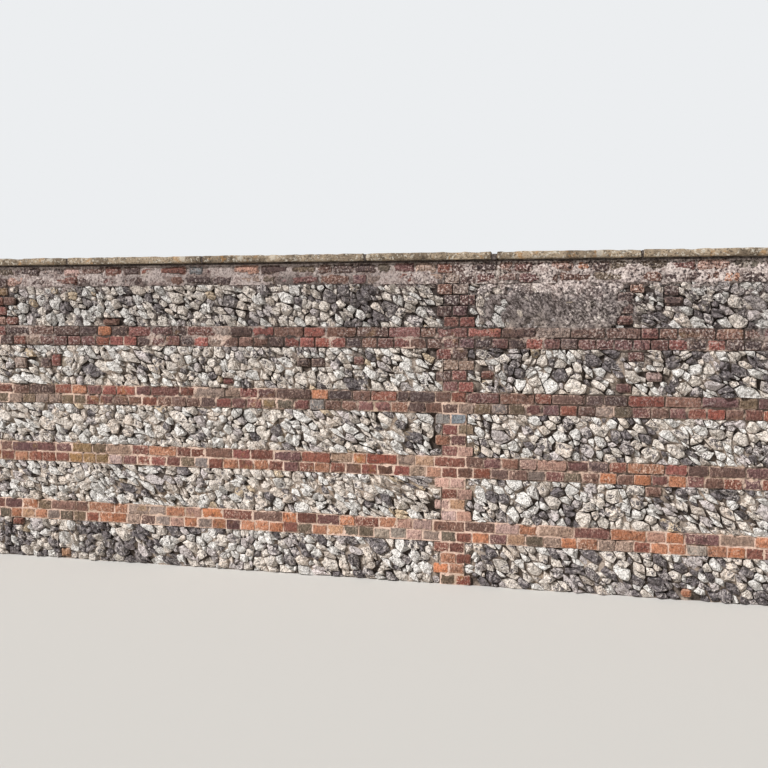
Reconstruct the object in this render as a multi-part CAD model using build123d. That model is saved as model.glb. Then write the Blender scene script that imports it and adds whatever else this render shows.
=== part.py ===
"""A length of garden wall: flint panels between brick piers, laced with brick and coped with slabs.

X runs along the wall, Y through it and Z up. The origin is on the ground, under the middle of the
wall. All sizes are millimetres.
"""

from build123d import *

import os

# Brickwork
BRICK_LENGTH = 219.0
BRICK_WIDTH = 105.0
COURSE_HEIGHT = 75.0  # one brick with its bed joint
MORTAR_JOINT = 10.0

# Bays and piers
BAY_NAMES = ("left", "right")
BAY_LENGTH = 3810.0  # from one pier's centre line to the next
PIER_WIDTH = BRICK_LENGTH  # a pier is one brick wide
PIER_TOOTH = 50.0  # how far alternate courses of a pier are set over, to bond with the flint

# Bands, counted in courses of brick
FLINT_BANDS = 5
FLINT_COURSES = 4
LACING_COURSES = 2
TOP_COURSES = 2

# Section through the wall
WALL_THICKNESS = BRICK_LENGTH + MORTAR_JOINT + BRICK_WIDTH  # one and a half bricks
FLINT_EDGE_RECESS = 4.0  # the flint face behind the brick face, along a panel's top and bottom
FLINT_CROWN = 14.0  # how far the middle of a flint panel stands out from its top and bottom

# Coping
COPING_BED = 12.0
COPING_BED_RECESS = 10.0
COPING_THICKNESS = 55.0
COPING_OVERHANG = 32.0
COPING_JOINT = 10.0
COPING_JOINT_RECESS = 8.0  # how far the joints' mortar lies behind the slabs' tops and faces
COPING_ARRIS = 7.0
COPING_LENGTHS = (975.0, 1085.0, 1215.0, 905.0, 945.0, 940.0, 930.0)  # as laid, from the left

PIER_CENTRES = [(i - len(BAY_NAMES) / 2) * BAY_LENGTH for i in range(len(BAY_NAMES) + 1)]
PIER_NAMES = ("pier_left", "pier_centre", "pier_right")
WALL_COURSES = FLINT_BANDS * FLINT_COURSES + (FLINT_BANDS - 1) * LACING_COURSES + TOP_COURSES
WALL_END = PIER_CENTRES[-1] + PIER_WIDTH / 2 + PIER_TOOTH / 2
BRICK_TOP = WALL_COURSES * COURSE_HEIGHT


def tooth(course):
    """How far one course of a pier is set over along the wall, by turns to each side."""
    return PIER_TOOTH / 2 if course % 2 == 0 else -PIER_TOOTH / 2


def pier_side(pier, side, course):
    """X of one side of a pier at one course; side is -1 for its left and 1 for its right."""
    if pier + side in (-1, len(PIER_CENTRES)):
        return side * WALL_END
    return PIER_CENTRES[pier] + side * PIER_WIDTH / 2 + tooth(course)


def stepped_plate(left_sides, right_sides, first_course, thickness):
    """A plate through the wall whose two ends step from course to course."""
    outline = []
    for i, x in enumerate(right_sides):
        outline.append((x, (first_course + i) * COURSE_HEIGHT))
        outline.append((x, (first_course + i + 1) * COURSE_HEIGHT))
    for i, x in reversed(list(enumerate(left_sides))):
        outline.append((x, (first_course + i + 1) * COURSE_HEIGHT))
        outline.append((x, (first_course + i) * COURSE_HEIGHT))
    corners = [p for i, p in enumerate(outline) if p != outline[i - 1]]
    face = make_face(Plane.XZ * Polyline(*corners, close=True))
    return extrude(face, thickness / 2, both=True)


def pier(index):
    """One brick pier, from the ground to the underside of the coping bed."""
    courses = range(WALL_COURSES)
    left_sides = [pier_side(index, -1, c) for c in courses]
    right_sides = [pier_side(index, 1, c) for c in courses]
    return stepped_plate(left_sides, right_sides, 0, WALL_THICKNESS)


def infill(bay, first_course, courses, thickness):
    """The plain stretch of one bay over some courses, bonded to the piers at both ends."""
    rows = range(first_course, first_course + courses)
    left_sides = [pier_side(bay, 1, c) for c in rows]
    right_sides = [pier_side(bay + 1, -1, c) for c in rows]
    return stepped_plate(left_sides, right_sides, first_course, thickness)


def flint_panel(bay, first_course):
    """One panel of flint, whose two faces crown outward between the brick courses."""
    low = first_course * COURSE_HEIGHT
    high = low + FLINT_COURSES * COURSE_HEIGHT
    middle = (low + high) / 2
    edge = WALL_THICKNESS / 2 - FLINT_EDGE_RECESS
    crown = edge + FLINT_CROWN
    section = [
        ThreePointArc((edge, low), (crown, middle), (edge, high)),
        Line((edge, high), (-edge, high)),
        ThreePointArc((-edge, high), (-crown, middle), (-edge, low)),
        Line((-edge, low), (edge, low)),
    ]
    bar = extrude(make_face(Plane.YZ * Curve(section)), WALL_END, both=True)
    return bar & infill(bay, first_course, FLINT_COURSES, 2 * crown + MORTAR_JOINT)


def coping_runs():
    """Where each coping slab starts and ends along the wall, laid from the left end.

    No slab is cut shorter than the wall is thick: the one before it runs on to the end instead.
    """
    runs = []
    start = -WALL_END
    while WALL_END - start > 0:
        length = COPING_LENGTHS[len(runs) % len(COPING_LENGTHS)]
        end = start + length
        if WALL_END - end < WALL_THICKNESS:
            end = WALL_END
        runs.append((start, end))
        start = end + COPING_JOINT
    return runs


def coping_slab(start, end):
    """One coping slab, its upper arrises worn round."""
    size = (end - start, WALL_THICKNESS + 2 * COPING_OVERHANG, COPING_THICKNESS)
    block = Box(*size, align=(Align.MIN, Align.CENTER, Align.MIN))
    block = fillet(block.edges().group_by(Axis.Z)[-1], COPING_ARRIS)
    return Pos(start, 0, BRICK_TOP + COPING_BED) * block


def coping_bed():
    """The mortar that the slabs lie on, raked back behind both faces of the wall, and in their joints."""
    size = (2 * WALL_END, WALL_THICKNESS - 2 * COPING_BED_RECESS, COPING_BED)
    bed = Pos(0, 0, BRICK_TOP) * Box(*size, align=(Align.CENTER, Align.CENTER, Align.MIN))
    width = WALL_THICKNESS + 2 * COPING_OVERHANG - 2 * COPING_JOINT_RECESS
    size = (COPING_JOINT, width, COPING_THICKNESS - COPING_JOINT_RECESS)
    for _, end in coping_runs()[:-1]:
        bed += Pos(end, 0, BRICK_TOP + COPING_BED) * Box(*size, align=(Align.MIN, Align.CENTER, Align.MIN))
    return bed


def wall_parts():
    """Every piece of the wall by its name."""
    parts = {name: pier(i) for i, name in enumerate(PIER_NAMES)}
    for bay, bay_name in enumerate(BAY_NAMES):
        course = 0
        for band in range(1, FLINT_BANDS + 1):
            parts[f"flint_panel_{bay_name}_{band}"] = flint_panel(bay, course)
            course += FLINT_COURSES
            if band < FLINT_BANDS:
                name = f"lacing_course_{bay_name}_{band}"
                parts[name] = infill(bay, course, LACING_COURSES, WALL_THICKNESS)
                course += LACING_COURSES
        parts[f"top_courses_{bay_name}"] = infill(bay, course, TOP_COURSES, WALL_THICKNESS)
    parts["coping_bed"] = coping_bed()
    for number, (start, end) in enumerate(coping_runs(), 1):
        parts[f"coping_slab_{number}"] = coping_slab(start, end)
    return parts


os.makedirs("parts", exist_ok=True)
for node, shape in wall_parts().items():
    export_step(shape, f"parts/{node}.step")
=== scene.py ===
"""Looks of a garden wall: flints between brick piers, laced with brick courses and coped with slabs.

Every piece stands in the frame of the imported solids: X along the wall, Y through it and Z up, in
metres, with the ground at zero. On a face of the wall, u runs along X, v runs up Z and the depth is
measured outward from the middle of the wall.
"""

import sys
import logging
import math
from dataclasses import dataclass, field
from enum import Enum
from functools import cached_property, lru_cache
from typing import Any, Callable, Optional, Union

import bmesh
import bpy
import numpy as np
from mathutils import Matrix, Vector


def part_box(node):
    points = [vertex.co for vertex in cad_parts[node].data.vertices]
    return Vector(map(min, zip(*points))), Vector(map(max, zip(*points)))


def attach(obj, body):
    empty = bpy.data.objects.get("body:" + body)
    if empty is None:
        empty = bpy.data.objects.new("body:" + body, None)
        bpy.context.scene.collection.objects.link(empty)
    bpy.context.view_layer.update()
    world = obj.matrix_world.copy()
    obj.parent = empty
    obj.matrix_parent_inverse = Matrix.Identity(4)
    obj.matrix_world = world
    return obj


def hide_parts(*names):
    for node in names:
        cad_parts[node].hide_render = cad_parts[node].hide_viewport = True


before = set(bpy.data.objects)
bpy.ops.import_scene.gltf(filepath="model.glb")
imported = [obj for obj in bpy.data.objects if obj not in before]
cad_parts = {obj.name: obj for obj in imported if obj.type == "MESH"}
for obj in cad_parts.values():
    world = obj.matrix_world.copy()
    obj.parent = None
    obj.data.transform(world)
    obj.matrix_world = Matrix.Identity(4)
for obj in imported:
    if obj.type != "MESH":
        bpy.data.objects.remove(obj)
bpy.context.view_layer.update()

log = logging.getLogger("garden_wall")

Colour = tuple[float, ...]
Grid = np.ndarray
Faces = tuple[tuple[int, ...], ...]
Polygon = list[tuple[float, float]]
Materials = tuple[bpy.types.Material, ...]

# Brickwork
COURSE = 0.075
JOINT = 0.009
BRICK = 0.219
HEADER = 0.1055
BRICK_WIDTH = 0.105
BRICK_HEIGHT = COURSE - JOINT
SHOWN_DEPTH = 0.055  # how deep a brick is built behind its face
STRETCHERS = {BRICK: 50, 0.162: 18, 0.142: 8, HEADER: 24}
HEADERS = {HEADER: 1}

# Bays and piers
BAY = 3.810
PIER_WIDTH = 0.219
TOOTH = 0.050
WALL_END = BAY + PIER_WIDTH / 2 + TOOTH / 2
PIER_CENTRES = (-BAY, 0.0, BAY)
PIER_NAMES = ("pier_left", "pier_centre", "pier_right")
BAY_NAMES = ("left", "right")

# Bands, counted in courses
FLINT_COURSES = 4
LACING_COURSES = 2
BANDS = 5
COURSES = BANDS * (FLINT_COURSES + LACING_COURSES)
SLABS = 8

# Section
FACE = 0.167
FLINT_EDGE = 0.163
FLINT_CROWN = 0.177
OUTMOST = 0.1985  # how far out a worn face may reach

CORNERS = ((-1, -1), (1, -1), (1, 1), (-1, 1))  # of a square about its middle


def dye(*parts: int) -> Colour:
    """The linear colour that a shader takes for red, green and blue as a screen shows them, 0 to 255."""
    shares = [part / 255 for part in parts]
    return tuple(s / 12.92 if s <= 0.04045 else ((s + 0.055) / 1.055) ** 2.4 for s in shares) + (1.0,)


class Side(Enum):
    """The two faces of the wall; the value is the sign of Y there."""

    FRONT = -1.0
    BACK = 1.0


class Stuff(Enum):
    """What a face of a mesh is made of; the value is its place among a piece's materials."""

    MORTAR = 0
    BRICK = 1
    FLINT = 2


class BrickTone(Enum):
    """Body colours of the bricks."""

    ORANGE = dye(182, 123, 93)
    RED = dye(131, 81, 68)
    CHERRY = dye(140, 83, 75)
    ROSE = dye(188, 149, 135)
    MAROON = dye(118, 81, 78)
    BROWN = dye(118, 87, 76)
    UMBER = dye(88, 70, 67)
    OLIVE = dye(112, 97, 80)
    OCHRE = dye(148, 118, 82)
    GREY = dye(150, 129, 117)
    SLATE = dye(156, 150, 145)
    TAN = dye(178, 142, 116)


class FlintTone(Enum):
    """Colours of the flints' rind, each with its usual share of bare dark core."""

    CREAM = (dye(247, 235, 223), 0.24)
    WHITE = (dye(251, 246, 240), 0.12)
    ASH = (dye(212, 201, 198), 0.46)
    STONE = (dye(236, 221, 207), 0.32)
    BUFF = (dye(216, 194, 166), 0.28)
    CHARCOAL = (dye(132, 122, 123), 0.92)


ORANGE, RED, CHERRY, ROSE, MAROON, BROWN, UMBER, OLIVE, OCHRE, GREY, SLATE, TAN = BrickTone
CREAM, WHITE, ASH, STONE, BUFF, CHARCOAL = FlintTone

# Tones and their weights: of the courses above each band, of the pier in steps, and of the flints
COURSE_MIXES = (
    {ORANGE: 26, RED: 20, ROSE: 12, MAROON: 8, BROWN: 14, OLIVE: 10, GREY: 10, TAN: 4},
    {RED: 30, CHERRY: 10, MAROON: 20, BROWN: 20, ROSE: 6, OCHRE: 6, GREY: 6, ORANGE: 4},
    {MAROON: 28, BROWN: 26, RED: 14, UMBER: 14, CHERRY: 6, GREY: 6, OLIVE: 6},
    {MAROON: 34, UMBER: 24, BROWN: 18, CHERRY: 12, GREY: 6, RED: 6},
    {BROWN: 26, UMBER: 24, GREY: 16, MAROON: 14, OLIVE: 10, RED: 6, ROSE: 4},
)
PIER_STEP = 6
PIER_MIXES = (
    {ORANGE: 5, RED: 6, ROSE: 1, BROWN: 2},
    {ROSE: 7, TAN: 2, RED: 3},
    {MAROON: 5, RED: 3, BROWN: 3, UMBER: 1},
    COURSE_MIXES[3],
    COURSE_MIXES[3],
)
FLINT_MIXES = (
    {CREAM: 38, WHITE: 34, ASH: 10, STONE: 11, BUFF: 2, CHARCOAL: 5},
    {CREAM: 29, WHITE: 31, ASH: 12, STONE: 10, BUFF: 1, CHARCOAL: 17},
    {CREAM: 22, WHITE: 24, ASH: 26, STONE: 14, BUFF: 1, CHARCOAL: 14},
)

# The middle pier's bricks from the ground up, each course from the left; a single one is a stretcher
PIER_BRICKS = (
    (OLIVE, CHERRY), (ORANGE, ORANGE), (ORANGE, RED), (RED, RED), (OLIVE, RED), (BROWN,),
    (ROSE, ROSE), (ROSE, TAN), (RED, ROSE), (ROSE, ROSE), (RED, BROWN), (MAROON,),
    (MAROON, ROSE), (BROWN, MAROON), (CHERRY, OLIVE), (SLATE, SLATE), (UMBER, GREY), (BROWN, RED),
)


@dataclass(frozen=True)
class Marked:
    """A brick of the front's courses that stands out by its colour or its length."""

    u: float
    tone: BrickTone
    length: float = HEADER


# The bricks that stand out in each course, from the left
MARKED_ROWS: dict[int, tuple[tuple[Any, ...], ...]] = {
    4: (
        (-3.32, TAN), (-2.99, OLIVE), (-2.88, OLIVE), (-2.54, ORANGE), (-2.07, ROSE), (-1.85, GREY),
        (-0.96, ORANGE), (-0.84, TAN), (-0.73, OLIVE), (-0.62, OLIVE), (-0.50, SLATE), (-0.385, SLATE),
        (-0.27, ROSE), (0.68, GREY), (0.79, ORANGE), (1.04, GREY), (1.155, GREY), (1.49, ORANGE),
        (1.62, SLATE), (1.74, ORANGE), (1.855, ORANGE),
    ),
    5: (
        (-3.18, OLIVE), (-3.02, BROWN, 0.21), (-2.53, ORANGE), (-2.36, GREY), (-2.22, GREY),
        (-2.06, ORANGE), (-1.79, ORANGE, 0.16), (-1.19, ORANGE), (-0.90, MAROON, 0.16), (-0.76, ORANGE),
        (-0.61, RED, 0.16), (-0.34, ROSE), (-0.21, ROSE, 0.12), (0.52, ORANGE, 0.12), (0.71, GREY, 0.215),
        (0.945, MAROON, 0.225), (1.18, ORANGE, 0.215), (1.36, ROSE), (1.475, ORANGE),
        (1.645, MAROON, 0.205), (1.86, GREY, 0.205),
    ),
    10: (
        (-2.91, OCHRE), (-2.80, OCHRE), (-2.69, OCHRE), (-1.99, OLIVE), (-1.88, GREY), (-0.25, TAN),
        (0.81, OLIVE), (1.04, ORANGE), (1.26, ORANGE), (1.48, ORANGE),
    ),
    11: (
        (-2.86, OCHRE, 0.16), (-2.71, OLIVE), (-2.19, ORANGE, 0.215), (-1.74, BROWN, 0.205),
        (-1.21, MAROON, 0.20), (-0.99, RED, 0.20), (-0.79, TAN, 0.13), (-0.51, CHERRY, 0.215),
        (-0.33, GREY), (-0.20, TAN, 0.13), (0.67, ROSE, 0.19), (0.84, MAROON, 0.13), (0.98, UMBER, 0.12),
        (1.28, ORANGE, 0.23), (1.47, CHERRY, 0.14), (1.61, UMBER, 0.12),
    ),
    16: (
        (-3.43, GREY), (-3.20, GREY), (-2.77, CHERRY), (-1.35, OLIVE), (-1.22, OLIVE), (-0.99, SLATE),
        (1.71, CHERRY),
    ),
    17: (
        (-3.20, UMBER, 0.21), (-2.88, ORANGE, 0.12), (-2.49, CHERRY, 0.15), (-1.51, CHERRY, 0.13),
        (-0.97, ORANGE, 0.12), (-0.50, RED, 0.18), (-0.22, UMBER, 0.19),
    ),
    22: ((-3.28, GREY), (-2.57, CHERRY), (-2.46, CHERRY)),
    23: ((-2.99, UMBER, 0.21), (-2.67, ORANGE), (-2.38, CHERRY, 0.18)),
    28: ((-3.43, ROSE, 0.14), (-3.22, UMBER, 0.20), (0.50, MAROON, 0.14), (1.78, ORANGE)),
    29: (
        (-3.33, UMBER, 0.215), (-3.11, UMBER, 0.16), (-2.60, RED, 0.14), (-2.30, RED, 0.14),
        (-1.93, SLATE, 0.13), (0.46, MAROON, 0.14), (0.71, ROSE, 0.16), (0.85, ORANGE, 0.11),
        (1.67, ROSE, 0.20),
    ),
}
MARKED = {course: tuple(Marked(*row) for row in rows) for course, rows in MARKED_ROWS.items()}


@dataclass(frozen=True)
class Placed:
    """A stone or a brick that is listed among the flints of the front."""

    u: float
    v: float
    length: float
    height: float
    tone: Union[BrickTone, FlintTone]


PLACED = [
    Placed(*row)
    for row in (
        (-3.650, 2.064, 0.085, 0.064, BROWN), (-3.552, 2.064, 0.100, 0.064, OCHRE),
        (-3.603, 1.988, 0.125, 0.064, RED), (-3.482, 1.988, 0.105, 0.064, BROWN),
        (-3.672, 1.913, 0.085, 0.064, RED), (-3.564, 1.913, 0.110, 0.064, CHERRY),
        (-3.583, 1.838, 0.125, 0.064, ROSE), (-3.462, 1.838, 0.105, 0.064, RED),
        (-3.389, 1.511, 0.100, 0.085, GREY), (-3.164, 1.514, 0.092, 0.075, UMBER),
        (-3.419, 0.268, 0.106, 0.060, RED), (-3.002, 0.046, 0.086, 0.070, TAN),
        (-3.076, 1.535, 0.080, 0.090, CHERRY), (-2.621, 1.832, 0.133, 0.053, BROWN),
        (-1.673, 1.398, 0.086, 0.046, CHERRY), (-1.095, 1.542, 0.104, 0.062, UMBER),
        (-0.985, 1.542, 0.100, 0.062, UMBER), (-0.683, 1.560, 0.080, 0.060, MAROON),
        (1.128, 1.396, 0.104, 0.062, MAROON), (1.203, 1.607, 0.108, 0.066, MAROON),
        (1.320, 1.476, 0.107, 0.066, ROSE), (0.225, 1.470, 0.090, 0.062, RED),
        (1.331, 0.712, 0.107, 0.068, BROWN), (1.553, 0.048, 0.070, 0.056, ORANGE),
        (1.127, 1.852, 0.106, 0.064, MAROON), (1.127, 1.926, 0.106, 0.064, BROWN),
        (1.127, 2.002, 0.106, 0.066, UMBER), (1.200, 2.062, 0.095, 0.064, ROSE),
        (1.414, 2.045, 0.093, 0.062, UMBER), (1.430, 1.975, 0.120, 0.062, UMBER),
        (-0.367, 1.112, 0.085, 0.098, CHARCOAL), (-0.285, 1.030, 0.104, 0.092, CHARCOAL),
        (-2.783, 1.462, 0.190, 0.090, CHARCOAL), (-0.537, 0.258, 0.215, 0.070, CHARCOAL),
        (-0.707, 0.135, 0.125, 0.094, CHARCOAL), (0.715, 1.065, 0.100, 0.100, WHITE),
        (1.420, 1.080, 0.110, 0.080, WHITE), (0.560, 0.130, 0.140, 0.080, CREAM),
    )
]


@dataclass(frozen=True)
class Patch:
    """An area of one face of the wall, by its middle and half its sides."""

    u: float
    v: float
    half_length: float
    half_height: float
    side: Side = Side.FRONT

    def cover(self, u: Grid, v: Grid) -> Grid:
        """How far a place is inside the rounded rim: 1 in the middle, 0 at the rim and less outside."""
        across, upward = np.abs((u - self.u) / self.half_length), np.abs((v - self.v) / self.half_height)
        return 1 - (across**3 + upward**3) ** (1 / 3)


# Where mortar was smeared over the stones and bricks
SMEARS = (
    Patch(0.69, 1.98, 0.54, 0.245), Patch(1.25, 2.14, 0.55, 0.07), Patch(-3.2, 2.12, 0.30, 0.05),
    Patch(-2.35, 2.14, 0.24, 0.05), Patch(-0.35, 2.13, 0.30, 0.05), Patch(-1.5, 2.12, 0.20, 0.04),
    Patch(1.95, 2.15, 0.30, 0.06), Patch(-1.2, 2.10, 0.45, 0.06, Side.BACK),
    Patch(2.3, 2.05, 0.60, 0.10, Side.BACK), Patch(-2.9, 2.13, 0.35, 0.06, Side.BACK),
)

# Where dark flints gather
DARK_SPOTS = (
    Patch(-2.65, 0.14, 0.40, 0.16), Patch(-3.35, 0.08, 0.28, 0.12),
    Patch(1.75, 0.06, 0.40, 0.08), Patch(-0.72, 1.95, 0.30, 0.14),
)


@lru_cache(maxsize=None)
def swell_waves(length: float, seed: int) -> tuple[tuple[float, float, float], ...]:
    """Draws the crossing waves of one swell.

    Args:
        length: About how far it is from one crest to the next.
        seed: Tells one swell from another.

    Returns:
        Each wave's pitch along the wall, its pitch upward and its phase.
    """
    rng = np.random.default_rng(seed)
    waves = []
    for _ in range(6):
        turn = rng.uniform(0, 2 * math.pi)
        pitch = 2 * math.pi / (length * rng.uniform(0.6, 1.6))
        waves.append((pitch * math.cos(turn), pitch * math.sin(turn), rng.uniform(0, 2 * math.pi)))
    return tuple(waves)


@dataclass(frozen=True)
class Swell:
    """A smooth random height over a face, made of a few crossing waves."""

    length: float
    seed: int

    def at(self, u: Grid, v: Grid) -> Grid:
        """The height at some places, mostly between -1 and 1."""
        waves = swell_waves(self.length, self.seed)
        heights = (np.sin(along * u + upward * v + phase) for along, upward, phase in waves)
        return sum(heights) / math.sqrt(len(waves))


def smear_cover(u: Grid, v: Grid, side: Side) -> Grid:
    """How thickly mortar is smeared over places on a face of the wall, 0 to 1."""
    best = np.max([patch.cover(u, v) for patch in SMEARS if patch.side is side], axis=0)
    ragged = np.maximum(best, -1) + 0.22 * Swell(0.16, 5).at(u, v) + 0.12 * Swell(0.05, 6).at(u, v)
    return np.clip(ragged * 3.5, 0, 1)


def band_surface(v: Grid, low: float) -> Grid:
    """Depth of a flint panel's crowned face at some heights; low is the height of its foot."""
    share = np.clip((v - low) / (FLINT_COURSES * COURSE), 0, 1)
    return FLINT_EDGE + (FLINT_CROWN - FLINT_EDGE) * 4 * share * (1 - share)


def joint_level(u: Grid, v: Grid, side: Side) -> Grid:
    """Depth of the pointing between bricks, worn deeper higher up and at the right.

    Args:
        u: Places along the wall.
        v: Their heights.
        side: The face of the wall.

    Returns:
        Depths outward from the middle of the wall.
    """
    high = np.clip((v - 1.55) / 0.15, 0, 1)
    worn = 0.0070 + 0.0016 * v + 0.0020 * np.clip(2 * u, 0, 1)
    worn = worn + (0.0018 + 0.0032 * high) * Swell(0.35, 11).at(u, v)
    worn = np.maximum(worn + (0.0022 + 0.0012 * high) * Swell(0.06, 12).at(u, v), 0.0015)
    return FACE - worn + 0.009 * smear_cover(u, v, side)


def joint_dirt_and_shade(u: Grid, v: Grid, side: Side) -> Grid:
    """How dark the pointing is painted: dirt, more higher up and at the right, and painted shade where it is
    worn deep.

    Args:
        u: Places along the wall.
        v: Their heights.
        side: The face of the wall.

    Returns:
        Shares from 0 to 1.
    """
    # worn-deep pointing takes painted shade; height and the right add dirt
    deep = (FACE - joint_level(u, v, side) - 0.006) / 0.008
    dirt_and_shade = deep + 0.50 * v - 0.44 + 0.18 * np.clip(2 * u, 0, 1) + 0.20 * v * Swell(0.6, 13).at(u, v)
    return np.clip(dirt_and_shade, 0, 0.92) * np.clip(1.3 - 0.9 * (v - 2.0) / 0.2, 0.35, 1.0)


def pier_side(pier: int, side: int, course: int) -> float:
    """X of a pier's left (-1) or right (1) side at one course; the wall's ends are plain."""
    if pier + side in (-1, len(PIER_CENTRES)):
        return side * WALL_END
    return PIER_CENTRES[pier] + side * PIER_WIDTH / 2 + (TOOTH / 2 if course % 2 == 0 else -TOOTH / 2)


def bay_span(bay: int) -> tuple[float, float]:
    """X of a bay's two ends, where the piers' courses that are set back leave it widest."""
    half = (PIER_WIDTH - TOOTH) / 2
    return PIER_CENTRES[bay] + half, PIER_CENTRES[bay + 1] - half


def course_ends(bay: int, course: int) -> tuple[float, float]:
    """X of a bay's two ends at one course."""
    return pier_side(bay, 1, course), pier_side(bay + 1, -1, course)


def course_middle(course: int) -> float:
    """Height of the middle of a course."""
    return (course + 0.5) * COURSE


def draw(mix: dict[Any, int], rng: np.random.Generator) -> Any:
    """Draws one key of a mix by its weight."""
    weights = np.array(list(mix.values()), dtype=float)
    return list(mix)[int(rng.choice(len(mix), p=weights / weights.sum()))]


# Meshes


@lru_cache(maxsize=None)
def ring_faces(segments: int, rings: int) -> Faces:
    """Faces of a closed lump of rings, from its back to its front, and a tip.

    Args:
        segments: Corners in each ring.
        rings: How many rings there are.

    Returns:
        Corner numbers, anticlockwise from outside on the front of the wall.
    """
    faces: list[tuple[int, ...]] = [tuple(reversed(range(segments)))]
    for low in range(0, (rings - 1) * segments, segments):
        high = low + segments
        for j in range(segments):
            k = (j + 1) % segments
            faces.append((low + j, low + k, high + k, high + j))
    last, tip = (rings - 1) * segments, rings * segments
    return tuple(faces + [(last + j, last + (j + 1) % segments, tip) for j in range(segments)])


def skin(points: Grid) -> Grid:
    """The tightest convex skin over some points.

    Args:
        points: Places in three dimensions.

    Returns:
        Triangles of point numbers, anticlockwise from outside.
    """
    mesh = bmesh.new()
    for point in points.tolist():
        mesh.verts.new(point)
    bmesh.ops.convex_hull(mesh, input=mesh.verts)
    mesh.verts.index_update()
    faces = np.array([[vertex.index for vertex in face.verts] for face in mesh.faces])
    mesh.free()
    a, b, c = points[faces[:, 0]], points[faces[:, 1]], points[faces[:, 2]]
    inward = (np.cross(b - a, c - a) * (a - points.mean(0))).sum(1) < 0
    faces[inward] = faces[inward][:, ::-1]
    return faces


def flake(
    points: Grid, triangles: Grid, floor: float, least: float, rng: np.random.Generator
) -> tuple[Grid, Faces, Grid]:
    """Hollows the larger facets of a skin, as flakes leave them.

    Args:
        points: Corners of the skin; the third part is the height.
        triangles: Its facets.
        floor: Facets that reach below this height stay as they are.
        least: Facets smaller than this across stay too.
        rng: Source of chance.

    Returns:
        The corners in use, with a new one in each hollow, the triangles, and 1 at each new corner.
    """
    corners = points[triangles]
    across = np.cross(corners[:, 1] - corners[:, 0], corners[:, 2] - corners[:, 0])
    doubled = np.linalg.norm(across, axis=1)
    size = np.sqrt(doubled / 2)
    chosen = (size > least) & (corners[:, :, 2].min(1) > floor)
    shares = rng.dirichlet((4, 4, 4), int(chosen.sum()))
    depth = rng.uniform(-0.16, 0.30, len(shares)) * size[chosen] / doubled[chosen]
    middles = (corners[chosen] * shares[:, :, None]).sum(1) - depth[:, None] * across[chosen]
    kept = [tuple(triangle) for triangle in triangles[~chosen].tolist()]
    for number, (a, b, c) in enumerate(triangles[chosen].tolist(), len(points)):
        kept += [(a, b, number), (b, c, number), (c, a, number)]
    used, places = np.unique(np.array(kept), return_inverse=True)
    turned = tuple(tuple(face) for face in places.reshape(-1, 3).tolist())
    return np.concatenate([points, middles])[used], turned, (used >= len(points)).astype(float)


def clip(polygon: Polygon, nx: float, ny: float, limit: float) -> Polygon:
    """Cuts a convex polygon along a line.

    Args:
        polygon: Its corners.
        nx: Direction across the line, away from what is kept.
        ny: The same, its upward part.
        limit: How far along that direction the line lies.

    Returns:
        Corners of the part that is kept.
    """
    kept = []
    for (ax, ay), (bx, by) in zip(polygon, polygon[1:] + polygon[:1]):
        a, b = ax * nx + ay * ny - limit, bx * nx + by * ny - limit
        if a <= 0:
            kept.append((ax, ay))
        if (a < 0 < b) or (b < 0 < a):
            t = a / (a - b)
            kept.append((ax + t * (bx - ax), ay + t * (by - ay)))
    return kept


def add(name: str, data: Any) -> bpy.types.Object:
    """Makes an object and puts it in the scene."""
    made = bpy.data.objects.new(name, data)
    bpy.context.scene.collection.objects.link(made)
    return made


@dataclass
class Stock:
    """Corners, faces and colours of one piece while it is being laid."""

    corners: list[Grid] = field(default_factory=list)
    faces: list[tuple[int, ...]] = field(default_factory=list)
    stuffs: list[int] = field(default_factory=list)
    tints: list[Grid] = field(default_factory=list)
    marks: list[Grid] = field(default_factory=list)
    count: int = 0

    def lay(
        self, u: Grid, v: Grid, depth: Grid, faces: Faces, side: Side, stuff: Stuff,
        tint: Colour = (1.0, 1.0, 1.0, 1.0), edge: Any = 0.0, core: Any = 0.0, luck: float = 0.0,
    ) -> None:
        """Adds one closed lump.

        Args:
            u: Places of its corners along the wall.
            v: Their heights.
            depth: How far out they are.
            faces: Their faces, anticlockwise as seen from outside on the front.
            side: The face of the wall that they belong to.
            stuff: What they are made of.
            tint: The lump's own colour.
            edge: 0 in the middle of its face and 1 at its rim; for mortar, its share of dirt and painted
                shade.
            core: Its share of dark core.
            luck: A number of its own, which moves its pattern.
        """
        points = np.stack([u, side.value * depth, v], axis=-1).reshape(-1, 3)
        way = 1 if side is Side.FRONT else -1
        self.faces += [tuple(self.count + i for i in face[::way]) for face in faces]
        self.stuffs += [stuff.value] * len(faces)
        self.corners.append(points)
        self.tints.append(np.tile(np.array(tint), (len(points), 1)))
        marks = [np.broadcast_to(np.ravel(mark), (len(points),)) for mark in (edge, core, luck)]
        self.marks.append(np.column_stack(marks))
        self.count += len(points)

    def piece(
        self, name: str, nodes: tuple[str, ...], materials: Materials, slot: str, crease: float = 42.0
    ) -> bpy.types.Object:
        """Makes the piece and puts it in the place of its solid.

        Args:
            name: The piece's name.
            nodes: The solids that it stands for.
            materials: Its materials, in the order of Stuff.
            slot: Not used.
            crease: Edges bent by more degrees than this stay sharp.

        Returns:
            The new object.
        """
        mesh = bpy.data.meshes.new(name)
        mesh.from_pydata(np.concatenate(self.corners).tolist(), [], self.faces)
        for material in materials:
            mesh.materials.append(material)
        mesh.polygons.foreach_set("material_index", self.stuffs)
        for layer, kind, key, values in (
            ("tint", "FLOAT_COLOR", "color", self.tints), ("marks", "FLOAT_VECTOR", "vector", self.marks)
        ):
            mesh.attributes.new(layer, kind, "POINT").data.foreach_set(key, np.concatenate(values).ravel())
        mesh.shade_smooth()
        mesh.set_sharp_from_angle(angle=math.radians(crease))
        piece = add(name, mesh)
        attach(piece, "root")
        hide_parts(*nodes)
        log.info("%s: %d triangles", name, sum(len(face) - 2 for face in self.faces))
        return piece


# Shaders

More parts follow.
